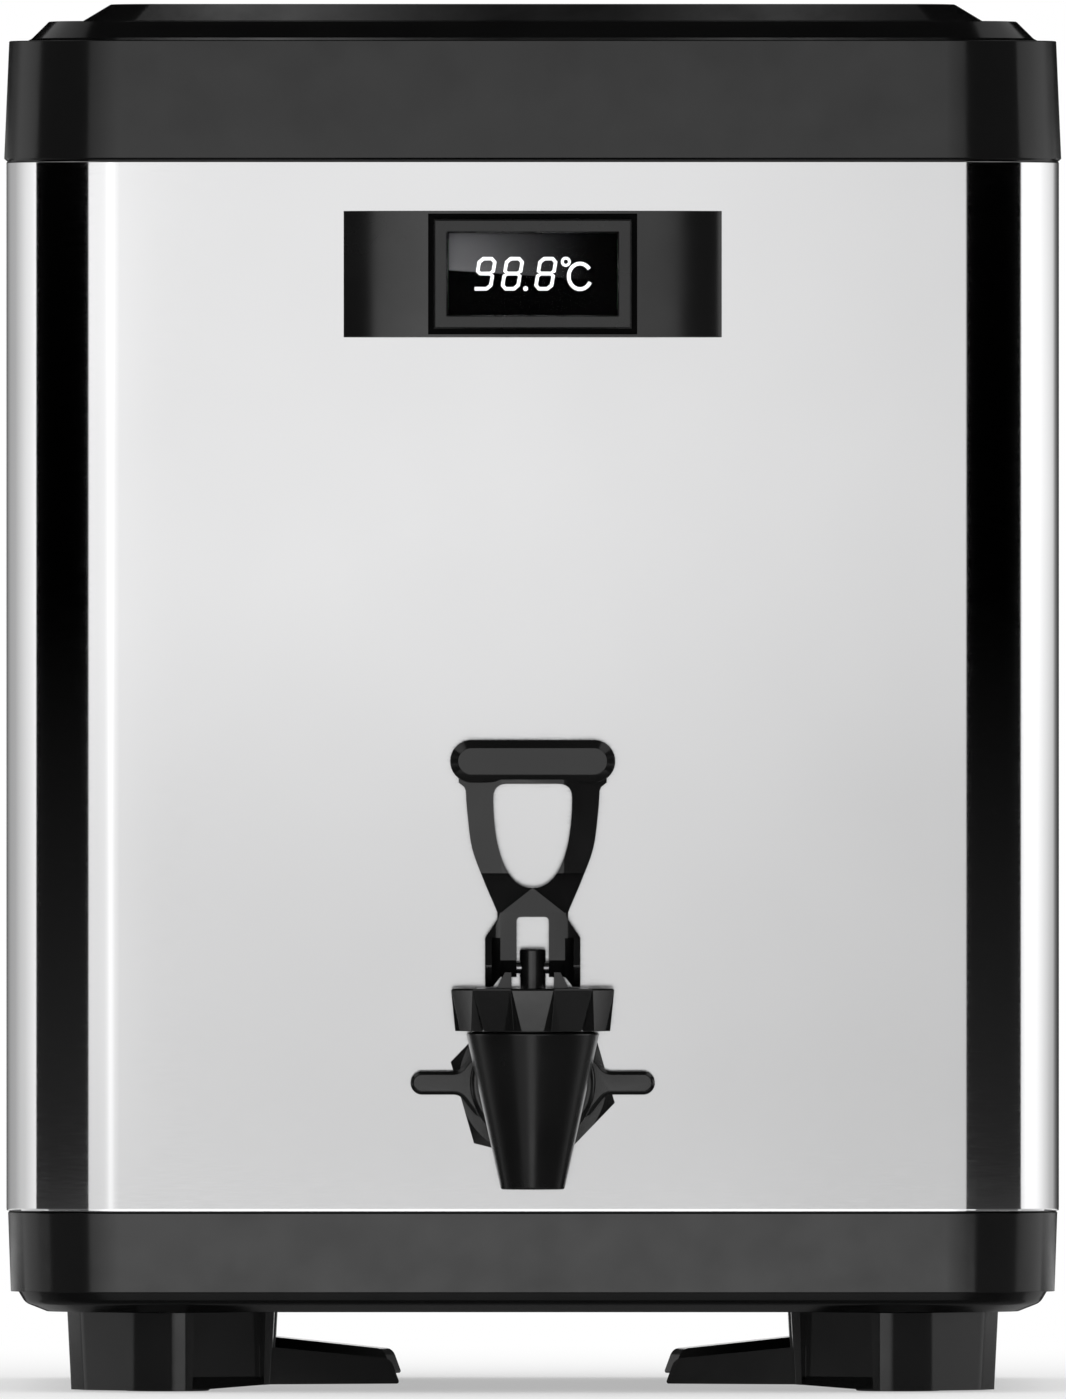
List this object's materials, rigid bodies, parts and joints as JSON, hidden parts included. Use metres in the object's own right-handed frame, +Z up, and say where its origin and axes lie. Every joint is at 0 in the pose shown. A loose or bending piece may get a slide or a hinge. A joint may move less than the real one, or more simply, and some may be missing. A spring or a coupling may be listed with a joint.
{
  "type": "insulated hot drink dispenser",
  "caption": "Square insulated drink dispenser: polished steel shell, black plastic collar and base, corner feet, thermometer display, lift-off lid and self-closing lever tap.",
  "frame": {"origin": "on the ground under the middle of the whole object's bounding box", "axes": "+Z up, the tap and the display face -Y, +X to the right as seen from the front"},
  "size_m": [0.2702, 0.3344, 0.3546],
  "materials": {
    "shell_steel": "polished stainless steel with soft reflections",
    "liner_steel": "satin stainless steel",
    "screw_steel": "machined steel",
    "black_plastic": "glossy black moulding",
    "foot_plastic": "semi-gloss black moulding",
    "handle_plastic": "fine-grained black moulding",
    "display_plastic": "glossy black moulding",
    "frame_plastic": "satin black moulding",
    "window_plastic": "dark smoked clear window",
    "lcd": "black display with white figures",
    "board": "green circuit board",
    "tap_gloss": "glossy black moulding",
    "tap_satin": "satin black moulding",
    "black_rubber": "matte black rubber",
    "silicone": "translucent white silicone",
    "foam": "pale yellow rigid foam"
  },
  "bodies": {
    "dispenser": {"outer_shell": "shell_steel", "base_tray": "black_plastic", "inner_liner": "liner_steel", "foam_jacket": "foam", "top_collar": "black_plastic", "front_left_foot": "foot_plastic", "front_right_foot": "foot_plastic", "rear_right_foot": "foot_plastic", "rear_left_foot": "foot_plastic", "front_left_pad": "black_rubber", "front_right_pad": "black_rubber", "rear_right_pad": "black_rubber", "rear_left_pad": "black_rubber", "front_left_foot_screw": "screw_steel", "front_right_foot_screw": "screw_steel", "rear_right_foot_screw": "screw_steel", "rear_left_foot_screw": "screw_steel", "display_housing": "display_plastic", "display_frame": "frame_plastic", "display_window": "window_plastic", "lcd_panel": "lcd", "display_board": "board", "coin_cell": "screw_steel", "display_cover": "black_plastic", "left_cover_screw": "screw_steel", "right_cover_screw": "screw_steel", "sensor_probe": "liner_steel", "probe_lead": "black_rubber", "outlet_pipe": "liner_steel", "outlet_washer": "silicone", "outlet_hex_nut": "tap_satin", "shank_seal": "silicone", "tap_body": "tap_gloss", "tap_bonnet": "tap_gloss", "stem_seal": "black_rubber"},
    "union_nut": {"wing_nut": "tap_satin"},
    "valve": {"valve_stem": "tap_satin", "seat_cup": "silicone", "valve_spring": "screw_steel", "lever_pin": "screw_steel"},
    "tap_lever": {"lever": "tap_gloss"},
    "lid": {"lid_cover": "black_plastic", "lid_plug": "black_plastic", "lid_foam": "foam", "lid_gasket": "silicone", "left_handle_pin": "screw_steel", "right_handle_pin": "screw_steel"},
    "handle": {"lid_handle": "handle_plastic"},
    "vent": {"vent_cap": "black_plastic", "vent_seal": "silicone"}
  },
  "joints": [
    {"name": "stem_lift", "type": "slide", "parent": "dispenser", "child": "valve", "axis": [0, 0, 1], "range_m": [0, 0.00416], "stiffness_N_per_m": 600, "springref_m": -0.01, "deforming": ["valve_spring"]},
    {"name": "lever_tilt", "type": "hinge", "parent": "valve", "child": "tap_lever", "pos_m": [0, -0.14644, 0.10875], "axis": [1, 0, 0], "range_deg": [0, 75]},
    {"name": "wing_nut_turn", "type": "hinge", "parent": "dispenser", "child": "union_nut", "pos_m": [0, -0.11808, 0.0793], "axis": [0, -1, 0], "range_deg": [0, 90]},
    {"name": "lid_lift", "type": "slide", "parent": "dispenser", "child": "lid", "axis": [0, 0, 1], "range_m": [0, 0.06]},
    {"name": "handle_swing", "type": "hinge", "parent": "lid", "child": "handle", "pos_m": [0, 0.05606, 0.3491], "axis": [-1, 0, 0], "range_deg": [0, 90]},
    {"name": "vent_lift", "type": "slide", "parent": "lid", "child": "vent", "axis": [0, 0, 1], "range_m": [0, 0.004]}
  ],
  "couplings": [
    {"joint": "lever_tilt", "follows": "stem_lift", "rad_per_m": 314.47}
  ]
}
